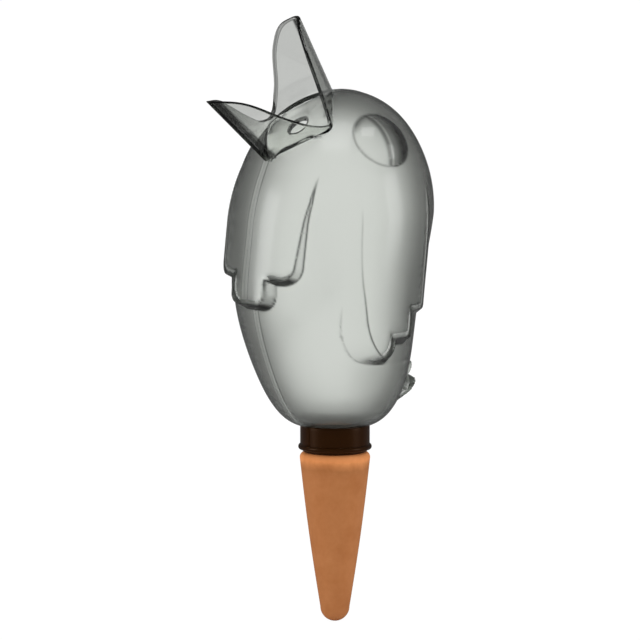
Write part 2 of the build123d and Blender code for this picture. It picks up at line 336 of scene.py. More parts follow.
def corner_depth(side, end, radius):
    """How deep points lie inside a corner of two edges that is rounded by a radius."""
    near = np.hypot(np.maximum(radius - side, 0), np.maximum(radius - end, 0))
    return radius - near + np.maximum(np.minimum(side, end) - radius, 0)


def bib_width(z):
    """Half the width of the chest's pad at a height."""
    return bib_half_width + bib_flare * fade(z, bib_flare_start, bib_flare_end)


def bib(x, y, z, grow):
    """The chest's pad, a long middle lobe under two wide side lobes: depth, swell and slope."""
    aside = np.abs(x) - grow
    sides = corner_depth(bib_width(z) - aside, z - bib_side_foot + grow, bib_side_corner)
    middle = corner_depth(bib_lobe_half_width - aside, z - bib_lobe_foot + grow, bib_lobe_corner)
    depth = np.maximum(sides, middle)
    swell = bib_stand * (bib_root - z) / (bib_root - bib_lobe_foot)
    return np.where(y < 0, depth, np.minimum(depth, other_side)), swell, bib_slope


def wing_front(z):
    """How far forward a wing's foot line lies at a height: bowed above, round below."""
    above = wing_bow * fade(z, wing_bow_start, wing_root) ** wing_bow_power
    drop = fade(z, wing_bulge_height, wing_lobe_feet[0])
    below = wing_bulge * (1 - drop**wing_bulge_power) ** (1 / wing_bulge_power)
    return wing_reach + below - above


def wing_swell(z):
    """How far a wing stands out of the body at a height."""
    return wing_stand * (wing_root - z) / (wing_root - wing_lobe_feet[0])


def wing(x, y, z, grow):
    """A side's pad, three lobes stepping up towards the back, with a wide front bevel."""
    front = (wing_front(z) + y + grow) * wing_front_bevel
    depth = np.full_like(z, far_outside)
    for lobe_back, lobe_foot, lobe_corner in zip(wing_lobe_backs, wing_lobe_feet, wing_lobe_corners):
        end = z - lobe_foot + grow
        back = (lobe_back - y + grow) * wing_back_bevel
        lobe = np.minimum(corner_depth(front, end, wing_front_corner), corner_depth(back, end, lobe_corner))
        depth = np.maximum(depth, lobe)
    return depth, wing_swell(z), wing_slope


def tail(x, y, z, grow):
    """The pad at the foot of the back, three lobes that point up and stand out."""
    aside = np.abs(x) - grow
    half_width = tail_half_width + tail_flare * fade(z, tail_root, tail_flare_end)
    sides = corner_depth(half_width - aside, tail_side_top - z + grow, tail_side_corner)
    middle = corner_depth(tail_lobe_half_width - aside, tail_lobe_top - z + grow, tail_lobe_corner)
    depth = np.maximum(sides, middle)
    swell = tail_stand * (z - tail_root) / (tail_lobe_top - tail_root)
    return np.where(y > 0, depth, np.minimum(depth, other_side)), swell, tail_slope


outside_edge, outside_foot = 0.3 * mm, 0.25 * mm
inside_edge, inside_foot = 1.4 * mm, 1.0 * mm
most_blend = 0.6


def pad_height(form, x, y, z, grow):
    """A pad's height: its wall slopes up from the outline, and its edges are softer inside."""
    edge, foot = (outside_edge, outside_foot) if grow == 0 else (inside_edge, inside_foot)
    depth, swell, slope = form(x, y, z, grow)
    wall = slope * (depth + np.sqrt(depth**2 + foot**2)) / 2
    swell = np.maximum(swell, 0)
    blend = np.minimum(edge, most_blend * swell)
    return (swell + wall - np.sqrt((swell - wall) ** 2 + blend**2)) / 2


# The eyes, two low domes on the sides of the head, and the raised weld
eye_height = 144.0 * mm
eye_turn = radians(87)
eye_dome_radius = 17.6 * mm
eye_stand = 4.5 * mm
eye_blend = 0.2 * mm
eye_foot, eye_out = body_point(np.array([eye_turn]), np.array([eye_height]), 0)
eye_middle = (eye_foot - eye_out * (eye_dome_radius - eye_stand))[0]
weld_stand = 0.15 * mm
weld_half_width = 1.9 * mm
weld_step = 0.3 * mm


def eye(place, out, grow):
    """How far the eye's ball stands out of the body at points on it."""
    mirror = np.where(place[..., :1] < 0, (-1, 1, 1), (1, 1, 1))
    reach = place * mirror - eye_middle
    along = np.sum(reach * out * mirror, axis=-1)
    spare = along**2 - np.sum(reach**2, axis=-1) + (eye_dome_radius + grow) ** 2
    return np.where(spare > 0, -along + np.sqrt(np.maximum(spare, 0)), far_outside)


def weld_share(x):
    """How far points lie on the raised weld, from 0 to 1."""
    return (1 - np.tanh((np.abs(x) - weld_half_width) / weld_step)) / 2


def shell_point(turn, z, grow):
    """Points on the bird's moulded surface: the body with its pads, eyes and raised weld."""
    place, out = body_point(turn, z, grow)
    x, y = place[..., 0], place[..., 1]
    height = sum(pad_height(form, x, y, z, grow) for form in (bib, wing, tail))
    ball = eye(place, out, grow)
    with_eye = (height + ball + np.sqrt((height - ball) ** 2 + eye_blend**2)) / 2
    height = np.where(ball > -eye_blend, with_eye, height)
    if grow == 0:
        height = height + weld_stand * weld_share(x)
    return place + out * height[..., None]


# What the plastic shows at each point: its haze, the dark lines of painted shade along its pads, eyes and
# weld (with the seam line itself), and how its edges darken
line_half_width = 0.4 * mm
line_rise, wall_rise = 0.8 * mm, 0.4 * mm
least_steep = 0.1
# Painted shade falls on pad walls that face down (or back, on the wings), from under_start to under_full.
# bib_line, bib_wall, tail_line and weld_line give the strength of the painted shade lines along the pads'
# and the weld's edges, and middle_line is the dark seam line between the halves
under_start, under_full = 0.6, 0.85
bib_line, bib_wall, tail_line = 0.85, 0.92, 0.2
weld_line, weld_line_half_width = 0.55, 0.26 * mm
middle_line, middle_line_half_width = 0.2, 0.15 * mm
shell_haze, eye_haze = 0.45, 0.09
weld_clearing, tail_clearing = 0.45, 0.5
eye_rim = 0.4 * mm


def pad_lines(form, turn, z, rear_share):
    """How near points on the body lie to a pad's top edge and its foot line, and how far they lie on its
    walls that face down or back: where painted shade goes.
    """
    step = 0.1 * mm

    def rise_at(turn, z):
        place = body_point(turn, z, 0)[0]
        depth, swell, slope = form(place[..., 0], place[..., 1], z, 0)
        return np.stack([slope * depth - swell, slope * depth]), swell

    rise, swell = rise_at(turn, z)
    aside = (rise_at(turn + step / body_half_width, z)[0] - rise) / step
    above = (rise_at(turn, z + step)[0] - rise) / step
    steep = np.maximum(np.hypot(aside, above), least_steep)
    shown = fade(swell, 0, line_rise)
    top, foot = bell(rise / steep, line_half_width) * shown
    on_wall = fade(-rise[0], 0, wall_rise) * fade(rise[1], 0, wall_rise)
    rear = -rear_share * np.sign(np.sin(turn)) * aside[1]
    facing = fade(np.maximum(above[1], rear) / steep[1], under_start, under_full)
    return top, foot, on_wall * facing * shown


# A wing's painted shade: dark lines along its top edge and its foot, and its walls that face down or back
# darkened
wing_top_dark, wing_foot_dark, wing_wall_dark, wing_faint = 0.82, 0.4, 0.78, 0.3
wing_top_fade, wing_faint_fade = (103 * mm, 63 * mm), (116 * mm, 106 * mm)
wing_rear_fade, wing_foot_fade = (20 * mm, 16 * mm), (72 * mm, 62 * mm)
wing_wall_front_fade, wing_wall_top_fade = (-15 * mm, -7 * mm), (66 * mm, 62 * mm)


def wing_painted_shade(y, z, top, foot, under):
    """A wing's painted shade: the top edge's line fades upwards, and the foot's line and the shaded walls
    show low down.
    """
    upwards = np.maximum(fade(z, *wing_top_fade), wing_faint * fade(z, *wing_faint_fade))
    top_line = wing_top_dark * top * upwards * fade(y, *wing_rear_fade)
    foot_line = wing_foot_dark * foot * fade(z, *wing_foot_fade)
    wall_line = wing_wall_dark * under * fade(y, *wing_wall_front_fade) * fade(z, *wing_wall_top_fade)
    return np.max([top_line, foot_line, wall_line], axis=0)


# An eye's painted shade: a dark ring round the dome, a dark streak across its back with a painted highlight
# behind it, and shade painted inside its upper edge
ring_dark, ring_half_width = 0.85, 0.36 * mm
ring_middle, ring_front, ring_growth = 0.6, 0.55, 10.0 * mm
streak_lean, streak_back = (0.994, 0.11), 3.0 * mm
streak_dark, streak_fade = 0.5, (-0.6 * mm, 1.4 * mm)
streak_edge_dark, streak_edge, streak_edge_half_width = 0.3, 0.6 * mm, 0.9 * mm
streak_rear_dark, streak_rear_fade = 0.35, (4.8 * mm, 8.8 * mm)
painted_gleam, painted_gleam_place, painted_gleam_half_width = 0.45, 2.3 * mm, 0.5 * mm
upper_painted_shade, upper_shade_fade, upper_shade_rise = 0.7, (1.82 * mm, 0.42 * mm), (2.0 * mm, 6.0 * mm)


def eye_painted_shade(y, z, ball):
    """An eye's painted shade: a ring round it, a streak with a painted highlight behind, and a shaded patch
    above.
    """
    up = z - eye_height
    back = (y - eye_foot[0, 1]) * streak_lean[0] + up * streak_lean[1] + streak_back
    ring = ring_dark * np.clip(ring_middle + back / ring_growth, ring_front, 1) * bell(ball, ring_half_width)
    streak = streak_dark * fade(back, *streak_fade) + streak_rear_dark * fade(back, *streak_rear_fade)
    streak += streak_edge_dark * bell(back - streak_edge, streak_edge_half_width)
    # A painted highlight lightens the painted shade just behind the streak
    streak -= painted_gleam * bell(back - painted_gleam_place, painted_gleam_half_width)
    upper_shade = upper_painted_shade * fade(ball, *upper_shade_fade) * fade(up, *upper_shade_rise)
    return np.maximum(ring, fade(ball, 0, eye_rim) * np.maximum(streak, upper_shade))


def shell_looks(turn, z):
    """The haze, the painted shade lines with the seam line, and the edge darkness of points on the bird's
    outside.
    """
    place, out = body_point(turn, z, 0)
    x, y = place[..., 0], place[..., 1]
    bib_top, bib_foot, bib_under = pad_lines(bib, turn, z, 0)
    tail_top, tail_foot, _ = pad_lines(tail, turn, z, 0)
    ball = eye(place, out, 0)
    lines = [
        bib_line * np.maximum(bib_top, bib_foot),
        bib_wall * bib_under,
        wing_painted_shade(y, z, *pad_lines(wing, turn, z, 1)),
        tail_line * np.maximum(tail_top, tail_foot),
        eye_painted_shade(y, z, ball),
        weld_line * bell(np.abs(x) - weld_half_width, weld_line_half_width),
        middle_line * bell(x, middle_line_half_width),
    ]
    on_weld = weld_share(x)
    on_tail = fade(pad_height(tail, x, y, z, 0), 0, mm)
    haze = shell_haze + (eye_haze - shell_haze) * fade(ball, 0, eye_rim)
    edge = 1 - weld_clearing * on_weld - tail_clearing * on_tail * (1 - on_weld)
    return haze, np.max(lines, axis=0), edge


# The screw neck, with the thread on its outside
neck_radius = 12.9 * mm
neck_bore_radius = 10.2 * mm
neck_end = 3.5 * mm
neck_blend, neck_bevel, bore_bevel = 0.6 * mm, 0.5 * mm, 0.4 * mm
bore_start = 6.0 * mm
thread_pitch = 4.0 * mm
thread_depth = 0.9 * mm
thread_top, thread_foot, thread_rows = foot_height - 1.2 * mm, neck_end + 0.9 * mm, 20
groove_edge, groove_floor = 0.4, 0.15
inner_foot = foot_height + shell_wall
neck_profile = [(neck_radius + neck_blend, foot_height), (neck_radius, foot_height - neck_bevel)]
neck_profile += [(neck_radius, z) for z in np.linspace(thread_top, thread_foot, thread_rows)]
neck_profile += [(neck_radius, neck_end + neck_blend), (neck_radius - neck_bevel, neck_end)]
neck_profile += [(neck_bore_radius + bore_bevel, neck_end), (neck_bore_radius, neck_end + bore_bevel)]
neck_profile += [(neck_bore_radius, z) for z in np.linspace(bore_start, inner_foot - neck_bevel, 4)]
neck_profile += [(neck_bore_radius + neck_bevel, inner_foot)]


def neck_ring(turn, radius, height):
    """A ring of the screw neck, with the thread's groove winding up its outside."""
    phase = np.mod(height / thread_pitch + turn / (2 * pi), 1)
    threaded = radius == neck_radius and thread_foot <= height <= thread_top
    groove = fade(np.abs(phase - 0.5), groove_edge, groove_floor) if threaded else 0
    reach = radius - thread_depth * groove + 0 * turn
    return np.stack([reach * np.sin(turn), -reach * np.cos(turn), height + 0 * turn], axis=-1)


# The rings of points on the bird, close together where its lines and edges run
weld_band = 3.0 * mm
most_weld, most_bib, least_bevel, wing_edge_limits = 0.3, 0.75, 0.3, (-0.3, 0.6)
crown_turn, crown_steps = 26, 20
level_stretches = ((128 * mm, 50), (92 * mm, 32), (40 * mm, 114), (16 * mm, 40), (foot_height, 8))
inner_thinning = 3


def spread(*stretches):
    """Places from 0 up to 1, in even steps over each stretch."""
    return np.concatenate([np.linspace(*stretch, endpoint=False) for stretch in stretches])


weld_columns = np.array([0, 0.25, 0.55, 0.9, 1.3, 1.6, 1.8, 2.0, 2.2, 2.5]) * mm / weld_band
bib_columns = spread((0, 0.785, 23), (0.785, 1, 14))
bevel_columns = spread((0, 0.056, 5), (0.056, 0.56, 17), (0.56, 0.96, 22), (0.96, 1, 4))
back_stretches = ((0, 0.0125, 4), (0.0125, 0.4, 46), (0.4, 0.48, 5), (0.48, 0.59, 24))
back_columns = spread(*back_stretches, (0.59, 0.74, 8), (0.74, 1, 33))


def ring_turns(z):
    """Angles round the body at a height, dense along the weld, the bib's edge and the wing's."""
    share = float(body_share(np.array(z), 0))
    wide, deep = body_half_width * share, body_half_depth * share
    weld = np.arcsin(min(weld_band / wide, most_weld))
    bib_edge = np.arcsin(min(bib_width(z) / wide, most_bib))
    swell = max(wing_swell(z), 0) / (wing_slope * wing_front_bevel)
    wing_edge = np.arccos(np.clip((body_centre(z) + wing_front(z) - swell) / deep, *wing_edge_limits))
    wing_edge = max(wing_edge, bib_edge + least_bevel)
    knots = (weld * weld_columns, weld + (bib_edge - weld) * bib_columns)
    knots += (bib_edge + (wing_edge - bib_edge) * bevel_columns,)
    knots += (wing_edge + (pi - weld - wing_edge) * back_columns,)
    half = np.concatenate(knots + (pi - weld * np.array([1.0, *weld_columns[::-1]]),))
    return np.concatenate([half, 2 * pi - half[-2:0:-1]])


crown_rows = np.cos(np.radians(np.linspace(0, crown_turn, crown_steps + 1)[1:]))
levels = [widest_height + (crown_height - widest_height) * crown_rows]
for low, rows in level_stretches:
    levels.append(np.linspace(levels[-1][-1], low, rows + 1)[1:])
levels = np.concatenate(levels)
inner_squeeze = (crown_height - foot_height - 2 * shell_wall) / (crown_height - foot_height)
inner_levels = inner_foot + (levels - foot_height) * inner_squeeze

rings, hazes, painted_shades, edges = [], [], [], []
for z in levels:
    turns = ring_turns(z)
    heights = np.full_like(turns, z)
    rings.append(shell_point(turns, heights, 0))
    haze_here, painted_shade_here, edge_here = shell_looks(turns, heights)
    hazes.append(haze_here)
    painted_shades.append(painted_shade_here)
    edges.append(edge_here)
neck_rings = [neck_ring(turns, radius, height) for radius, height in neck_profile]
neck_rings.insert(0, (rings[-1] + neck_rings[0]) / 2)
rings += neck_rings
hazes += [np.full_like(turns, shell_haze)] * len(neck_rings)
for z in inner_levels[::-inner_thinning]:
    turns = ring_turns(z)
    rings.append(shell_point(turns, np.full_like(turns, z), -shell_wall))
    hazes.append(np.ones_like(turns))
painted_shades += [np.zeros_like(turns)] * (len(rings) - len(painted_shades))
edges += [np.ones_like(turns)] * (len(rings) - len(edges))


def mark(piece, name, values):
    """Gives each point of a mesh a value that its material reads."""
    piece.data.attributes.new(name, "FLOAT", "POINT").data.foreach_set("value", values)


bpy.ops.object.select_all(action="DESELECT")
bpy.ops.mesh.primitive_uv_sphere_add(segments=len(turns), ring_count=len(rings) + 1, radius=1)
bird = bpy.context.object
bird.name = "bird_form"
spots = np.array([vertex.co for vertex in bird.data.vertices])
row = np.rint(np.arccos(np.clip(spots[:, 2], -1, 1)) / pi * (len(rings) + 1)).astype(int)
column = np.rint(np.arctan2(spots[:, 1], spots[:, 0]) / (2 * pi) * len(turns)).astype(int) % len(turns)
on_rings = (row > 0) & (row <= len(rings))
inside_rows = np.clip(row - 1, 0, len(rings) - 1)
shaped = np.stack(rings)[inside_rows, column]
shaped[row == 0] = (0, body_centre(crown_height), crown_height)
shaped[row == len(rings) + 1] = (0, body_centre(crown_height - shell_wall), crown_height - shell_wall)
bird.data.vertices.foreach_set("co", shaped.ravel())
bird.data.update()
mark(bird, "haze", np.stack(hazes)[inside_rows, column])
# The dark attribute holds the painted shade lines, and the seam line along the middle
mark(bird, "dark", np.stack(painted_shades)[inside_rows, column] * on_rings)
mark(bird, "edge", np.stack(edges)[inside_rows, column])
mark(bird, "tint", np.zeros(len(spots)))

# The open beak, two folded jaws round the mouth with its filling hole
fill_hole = next(m for m in frame["record"]["mounts"] if m["name"] == "fill_hole")
mouth_out = np.array(fill_hole["axis"])
mouth_up = np.array([0, mouth_out[2], -mouth_out[1]])
mouth_middle = np.array(fill_hole["pos_m"]) + mouth_out * shell_wall / 2
hole_radius = fill_hole["dims"]["r_mm"] * mm
mouth_half = 24.1 * mm
lower_jaw_length, lower_jaw_flare = 43.5 * mm, 8.8 * mm
upper_jaw_length, upper_jaw_flare = 38.9 * mm, 6.1 * mm
beak_wall = 2.0 * mm
jaw_corner_radius = 5.0 * mm
jaw_blend = 6.0 * mm
upper_fold_radius = 4.0 * mm
lower_fold_radius = 2.2 * mm
least_fold_radius = 0.4 * mm
rim_places = np.array([-32.9, -21.2, -11.5, -4.5, 1.7, 9.1, 17.4, 23.4, 30.2]) * mm
rim_heights = np.array([43.5, 32.2, 15.4, 5.4, 1.6, 11.7, 29.9, 37.8, 38.9]) * mm
rim_round = 0.8 * mm
rim_start = 20.0 * mm
search_steps = 40


def rim_height(along):
    """How high the beak's rim stands over the mouth at a place along it."""
    slopes = np.gradient(rim_heights, rim_places)
    slopes[np.argmin(rim_heights)] = 0
    i = np.clip(np.searchsorted(rim_places, along) - 1, 0, len(rim_places) - 2)
    span = rim_places[i + 1] - rim_places[i]
    t = np.clip((along - rim_places[i]) / span, 0, 1)
    start, end = rim_heights[i], rim_heights[i + 1]
    bend = (t**3 - 2 * t**2 + t) * span * slopes[i] + (t**3 - t**2) * span * slopes[i + 1]
    return start + (end - start) * (3 * t**2 - 2 * t**3) + bend


def half_section(spine_steps, side_steps, corner_steps):
    """Which part of the beak's folded section each place round it lies on, from 0 to 5."""
    spine, side = np.arange(spine_steps) / spine_steps, np.arange(side_steps) / side_steps
    corner = np.arange(corner_steps) / corner_steps
    return np.concatenate([spine, 1 + side**1.5, 2 + corner, 4 - (1 - side) ** 1.5, 4 + spine])


right_side = half_section(spine_steps=10, side_steps=26, corner_steps=12)
section_part = np.concatenate([right_side, [5.0], right_side[:0:-1]])
section_side = np.where(np.arange(len(section_part)) <= len(right_side), 1, -1)


def beak_place(height, inset):
    """Across and along the mouth, for each place round the beak's folded section."""
    upper = mouth_half + upper_jaw_flare * height / upper_jaw_length
    lower = -mouth_half - lower_jaw_flare * height / lower_jaw_length
    half, middle = (upper - lower) / 2 - inset * sqrt(2), (upper + lower) / 2
    corner = jaw_corner_radius - inset
    part = np.minimum(section_part.astype(int), 4)
    outer_fold = np.where(part < 2, upper_fold_radius, lower_fold_radius)
    fold = np.maximum(outer_fold - inset, least_fold_radius)
    sink = (sqrt(2) - 1) * (fold - outer_fold) + sqrt(2) * inset + fold
    fold_middle = np.where(part < 2, upper - sink, lower + sink)
    t = section_part - part
    turn = np.select(
        [part == 0, part == 1, part == 2, part == 3],
        [90 - 45 * t, 45 + 0 * t, 45 - 90 * t, -45 + 0 * t],
        -45 - 45 * t,
    ) * pi / 180
    on_fold = np.stack([fold * np.cos(turn), fold_middle + fold * np.sin(turn)])
    on_corner = np.stack([half - corner * sqrt(2) + corner * np.cos(turn), middle + corner * np.sin(turn)])
    share = np.select([part == 0, part == 1, part == 2, part == 3], [0 * t, t, 1 + 0 * t, 1 - t], 0 * t)
    across, along = on_fold * (1 - share) + on_corner * share
    return np.stack([across * section_side, along + 0 * across], axis=-1)


def rim_at(inset):
    """The rim's height for each place round the beak, at an inset from its outside."""
    height = np.full(len(section_part), rim_start)
    for _ in range(search_steps):
        height = (height + rim_height(beak_place(height, inset)[:, 1])) / 2
    return height


def mouth_points(flat, height):
    """Places on the mouth's plane, lifted to a height over it."""
    lift = np.broadcast_to(height, len(flat))[:, None] * mouth_out
    lifted = mouth_middle + flat[:, 1:] * mouth_up + lift
    lifted[:, 0] += flat[:, 0]
    return lifted


def inside_height(flat):
    """How high the body's inside lies over the mouth's plane at places round the beak."""
    reach = 9.0 * mm
    low, high = np.full(len(flat), -reach), np.full(len(flat), reach)
    for _ in range(search_steps):
        middle = (low + high) / 2
        x, y, z = mouth_points(flat, middle).T
        share = np.maximum(body_share(z, -shell_wall), 1e-9)
        across = x / ((body_half_width - shell_wall) * share)
        along = (y - body_centre(z)) / ((body_half_depth - shell_wall) * share)
        within = (across**2 + along**2 < 1) & (z < crown_height - shell_wall)
        low, high = np.where(within, middle, low), np.where(within, high, middle)
    return (low + high) / 2


outer_rim, inner_rim = rim_at(0), rim_at(beak_wall)
mouth_level = np.zeros_like(outer_rim)
upper_tint, lower_tint, foot_tint, tint_height = 0.38, 0.38, -0.08, 25.0 * mm
# Painted shade on the beak: dark bands along its two folds with a darker line at the lower one's edge, dark
# lines along its rim, row by row round the rim's round, and a dark line round the filling hole
upper_spine_dark, upper_spine_fade = 0.9, (1.8 * mm, 1.0 * mm)
lower_spine_dark, lower_spine_fade = 0.74, (5.4 * mm, 4.8 * mm)
spine_edge_dark, spine_edge, spine_edge_half_width = 0.9, 4.9 * mm, 0.8 * mm
outer_rim_dark, inner_rim_dark, hole_dark = 0.6, 0.7, 0.8
rim_painted_shades = ((30, 0.8, 0.2), (60, 0.3, 0.3), (90, 0.05, 0.55), (120, 0.4, 0.6), (150, 0.9, 0.3))
beak_edge = 0.12
foot_overlap, least_sink = 0.3 * mm, 0.4 * mm
line_gap, most_gap = 0.35 * mm, 1 / 40
outer_rows, inner_rows = 25, 23
floor_shares = (0.3, 0.6, 0.9, 0.96, 1)
hole_line_start = 0.95
beak_rows, beak_painted_shades, beak_tints = [], [], []


def upper_share(flat):
    """How far places round the beak belong to its upper jaw, from 0 to 1."""
    return fade(flat[:, 1], -jaw_blend / 2, jaw_blend / 2)


def add_row(flat, height, dark, tinted):
    """A ring of places round the beak, with its painted shade lines and its share of the tint."""
    beak_rows.append(mouth_points(flat, height))
    beak_painted_shades.append(dark + mouth_level)
    lower = foot_tint + (lower_tint - foot_tint) * fade(height, 0, tint_height)
    beak_tints.append(tinted * (lower + (upper_tint - lower) * upper_share(flat)))


def spine_painted_shade(flat):
    """The painted shade bands along the two folds of the beak."""
    upper = np.linalg.norm(flat - flat[0], axis=1)
    lower = np.linalg.norm(flat - flat[len(right_side)], axis=1)
    upper_band = upper_spine_dark * fade(upper, *upper_spine_fade)
    lower_band = lower_spine_dark * fade(lower, *lower_spine_fade)
    lower_edge = spine_edge_dark * bell(lower - spine_edge, spine_edge_half_width)
    return np.max([upper_band, lower_band, lower_edge], axis=0)


foot_start = np.clip(inside_height(beak_place(mouth_level, 0)) + foot_overlap, -shell_wall, -least_sink)
outer_span = outer_rim - rim_round - foot_start
outer_gap = np.minimum(line_gap / outer_span, most_gap)
for share in [*np.linspace(0, 1, outer_rows, endpoint=False), 1 - outer_gap, 1]:
    height = foot_start + outer_span * share
    flat = beak_place(height, 0)
    add_row(flat, height, np.maximum(spine_painted_shade(flat), outer_rim_dark * np.all(share == 1)), 1)
for angle, lower_dark, upper_dark in rim_painted_shades:
    inset = beak_wall / 2 * (1 - cos(radians(angle)))
    height = rim_at(inset) - rim_round * (1 - sin(radians(angle)))
    flat = beak_place(height, inset)
    add_row(flat, height, lower_dark + (upper_dark - lower_dark) * upper_share(flat), 1)
inner_span = inner_rim - rim_round
inner_gap = np.minimum(line_gap / inner_span, most_gap)
for share in [1, 1 - inner_gap, *np.linspace(1, 0, inner_rows + 1)[1:]]:
    height = inner_span * share
    flat = beak_place(height, beak_wall)
    add_row(flat, height, np.maximum(spine_painted_shade(flat), inner_rim_dark * np.all(share == 1)), 1)
floor_edge = beak_place(mouth_level, beak_wall)
hole_edge = hole_radius * floor_edge / np.linalg.norm(floor_edge, axis=1, keepdims=True)
for share in floor_shares:
    on_floor = floor_edge * (1 - share) + hole_edge * share
    add_row(on_floor, 0, hole_dark * (share > hole_line_start), 0)
under_edge = beak_place(foot_start, 0)
for share in floor_shares[::-1]:
    height = foot_start + (-shell_wall - foot_start) * min(1, share / floor_shares[0])
    below_floor = under_edge * (1 - share) + hole_edge * share
    add_row(below_floor, height, hole_dark * (share > hole_line_start), 0)


def face_outwards():
    """Turns the faces of the active mesh outwards."""
    bpy.ops.object.mode_set(mode="EDIT")
    bpy.ops.mesh.select_all(action="SELECT")
    bpy.ops.mesh.normals_make_consistent(inside=False)
    bpy.ops.object.mode_set(mode="OBJECT")


bpy.ops.object.select_all(action="DESELECT")
bpy.ops.mesh.primitive_torus_add(major_segments=len(section_part), minor_segments=len(beak_rows))
beak = bpy.context.object
beak.name = "beak_form"
beak_grid = np.stack(beak_rows, axis=1).reshape(-1, 3)
beak.data.vertices.foreach_set("co", beak_grid.ravel())
beak.data.update()
# The dark attribute on the beak is painted shade
mark(beak, "dark", np.stack(beak_painted_shades, axis=1).ravel())
mark(beak, "tint", np.stack(beak_tints, axis=1).ravel())
mark(beak, "edge", np.full(len(beak_grid), beak_edge))
face_outwards()

# The opening that is cut into the head for the beak
cut_height = 20.0 * mm
bpy.ops.object.select_all(action="DESELECT")
bpy.ops.mesh.primitive_cylinder_add(vertices=len(section_part), radius=1, depth=2)
mouth_cut = bpy.context.object
mouth_cut.name = "mouth_cut"
cut_spots = np.array([vertex.co for vertex in mouth_cut.data.vertices])
cut_low = mouth_points(beak_place(mouth_level - shell_wall / 2, beak_wall / 2), -shell_wall / 2)
cut_high = mouth_points(beak_place(mouth_level + cut_height, beak_wall / 2), cut_height)
order = np.rint(np.arctan2(cut_spots[:, 0], cut_spots[:, 1]) / (2 * pi) * len(section_part)).astype(int)
order %= len(section_part)
cut_shaped = np.where(cut_spots[:, 2:] < 0, cut_low[order], cut_high[order])
mouth_cut.data.vertices.foreach_set("co", cut_shaped.ravel())
mouth_cut.data.update()
face_outwards()

bpy.ops.object.select_all(action="DESELECT")
bird.select_set(True)
bpy.context.view_layer.objects.active = bird
for tool, operation in ((mouth_cut, "DIFFERENCE"), (beak, "UNION")):
    bpy.ops.object.modifier_add(type="BOOLEAN")
    modifier = bird.modifiers[-1]
    modifier.solver = "MANIFOLD"
    modifier.operation = operation
    modifier.object = tool
    bpy.ops.object.modifier_apply(modifier=modifier.name)
    bpy.data.objects.remove(tool)

# The plastic: darker where it is seen edge on, with its painted shade lines on its outside only
plastic_index, no_index = 1.5, 1.001
smoke_green, smoke_blue = 1.015, 0.99
smoke_tones = ((0.1, 0.9), (0.2, 0.78), (0.29, 0.65), (0.4, 0.45), (0.47, 0.385))
smoke_tones += ((0.56, 0.345), (0.66, 0.27), (0.8, 0.085), (1.0, 0.03))
smoke_stops = [(place, (tone, tone * smoke_green, tone * smoke_blue)) for place, tone in smoke_tones]
smoke, smoke_surface = new_material("smoke_plastic")
smoke_surface.inputs["Transmission Weight"].default_value = 1.0
smoke_surface.inputs["IOR"].default_value = plastic_index
smoke_facing = add_node(smoke, "ShaderNodeLayerWeight", Blend=0.5)
smoke_edge = add_node(smoke, "ShaderNodeAttribute", attribute_name="edge")
smoke_turn = add_node(smoke, "ShaderNodeMath", operation="MULTIPLY")
smoke_tint = add_node(smoke, "ShaderNodeValToRGB")
fill_ramp(smoke_tint, smoke_stops)
link(smoke, smoke_facing, "Facing", smoke_turn, 0)
link(smoke, smoke_edge, "Fac", smoke_turn, 1)
link(smoke, smoke_turn, 0, smoke_tint, "Fac")
# The dark attribute's painted shade darkens the base colour of front faces only
dark = add_node(smoke, "ShaderNodeAttribute", attribute_name="dark")
dark_side = add_node(smoke, "ShaderNodeNewGeometry")
painted_shade_outside = add_node(smoke, "ShaderNodeMath", operation="SUBTRACT", use_clamp=True)
painted_shade_range = add_node(smoke, "ShaderNodeMapRange", To_Min=1.0, To_Max=0.0)
painted_shade_depth = add_node(smoke, "ShaderNodeMath", operation="POWER")
painted_shade_depth.inputs[1].default_value = 2.0
tint = add_node(smoke, "ShaderNodeAttribute", attribute_name="tint")
tint_range = add_node(smoke, "ShaderNodeMapRange", clamp=False, To_Min=1.0, To_Max=0.0)
both = add_node(smoke, "ShaderNodeMath", operation="MULTIPLY")
darkened = add_node(smoke, "ShaderNodeVectorMath", operation="SCALE")
weld = add_node(smoke, "ShaderNodeAttribute", attribute_name="weld")
unless_weld = add_node(smoke, "ShaderNodeVectorMath", operation="MAXIMUM")
link(smoke, dark, "Fac", painted_shade_outside, 0)
link(smoke, dark_side, "Backfacing", painted_shade_outside, 1)
link(smoke, painted_shade_outside, 0, painted_shade_range, "Value")
link(smoke, painted_shade_range, "Result", painted_shade_depth, 0)
link(smoke, tint, "Fac", tint_range, "Value")
link(smoke, painted_shade_depth, 0, both, 0)
link(smoke, tint_range, "Result", both, 1)
link(smoke, smoke_tint, "Color", darkened, 0)
link(smoke, both, 0, darkened, "Scale")
link(smoke, darkened, 0, unless_weld, 0)
link(smoke, weld, "Fac", unless_weld, 1)
link(smoke, unless_weld, 0, smoke_surface, "Base Color")
haze = add_node(smoke, "ShaderNodeAttribute", attribute_name="haze")
haze_there = add_node(smoke, "ShaderNodeMath", operation="SUBTRACT")
haze_range = add_node(smoke, "ShaderNodeMapRange", To_Min=0.04, To_Max=0.36)
link(smoke, haze, "Fac", haze_there, 0)
link(smoke, weld, "Fac", haze_there, 1)
link(smoke, haze_there, 0, haze_range, "Value")
link(smoke, haze_range, "Result", smoke_surface, "Roughness")
weld_range = add_node(smoke, "ShaderNodeMapRange", To_Min=plastic_index, To_Max=no_index)
link(smoke, weld, "Fac", weld_range, "Value")
link(smoke, weld_range, "Result", smoke_surface, "IOR")
smoke_depth = add_node(smoke, "ShaderNodeVolumeAbsorption", Color=(0.5, 0.535, 0.49, 1), Density=80.0)
link(smoke, smoke_depth, "Volume", smoke.node_tree.nodes["Material Output"], "Volume")

